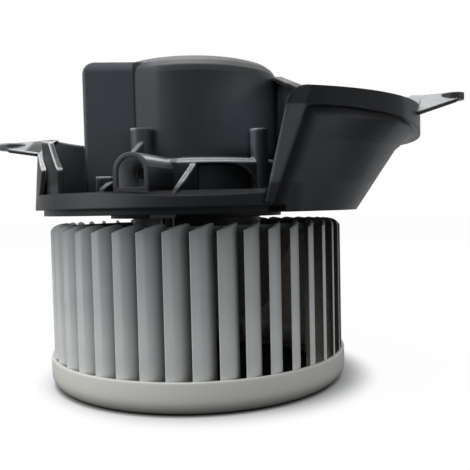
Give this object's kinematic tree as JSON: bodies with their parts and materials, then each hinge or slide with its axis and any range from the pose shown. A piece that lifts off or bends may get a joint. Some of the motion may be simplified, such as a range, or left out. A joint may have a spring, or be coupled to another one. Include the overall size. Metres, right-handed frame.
{
  "type": "car cabin blower motor",
  "caption": "Cabin blower: moulded black cover with motor cup, side scoop, plug socket and fixing ears, carrying a drum-shaped grey fan wheel.",
  "frame": {"origin": "on the fan's turning axis, in the plane of the cover's seat", "axes": "+Z along the turning axis from the wheel towards the motor cup, +X towards the high ear and the scoop, the front view looks along +Y"},
  "size_m": [0.2358, 0.2102, 0.1572],
  "materials": {
    "black_plastic": "moulded black plastic, satin",
    "grey_plastic": "moulded light grey plastic, satin",
    "zinc_steel": "zinc plated screw",
    "isolator_rubber": "soft black rubber",
    "can_steel": "drawn zinc plated steel",
    "ferrite": "ground ferrite",
    "card_plastic": "moulded brown plastic",
    "carbon": "carbon brush",
    "spring_steel": "bright spring steel",
    "copper": "enamelled copper",
    "terminal_brass": "tinned brass",
    "bearing_bronze": "oiled sintered bronze",
    "shaft_steel": "ground steel",
    "lamination_steel": "stacked steel sheets",
    "washer_plastic": "slippery plastic"
  },
  "bodies": {
    "cover": {"housing": "black_plastic", "retaining_ring": "black_plastic", "retaining_screws": "zinc_steel", "upper_isolator": "isolator_rubber", "lower_isolator": "isolator_rubber", "motor_can": "can_steel", "motor_end_plate": "can_steel", "magnet_1": "ferrite", "magnet_2": "ferrite", "brush_card": "card_plastic", "brush_1": "carbon", "brush_2": "carbon", "brush_spring_1": "spring_steel", "brush_spring_2": "spring_steel", "choke_1": "copper", "choke_2": "copper", "terminal_plus": "terminal_brass", "terminal_minus": "terminal_brass", "lower_bearing": "bearing_bronze", "upper_bearing": "bearing_bronze", "bearing_retainer": "spring_steel"},
    "rotor": {"shaft": "shaft_steel", "armature_core": "lamination_steel", "armature_windings": "copper", "commutator": "copper", "thrust_washer_low": "washer_plastic", "thrust_washer_top": "washer_plastic", "fan_wheel": "grey_plastic", "wheel_clip": "spring_steel"}
  },
  "joints": [
    {"name": "fan_spin", "type": "hinge", "parent": "cover", "child": "rotor", "pos_m": [0, 0, 0], "axis": [0, 0, 1], "continuous": true}
  ]
}
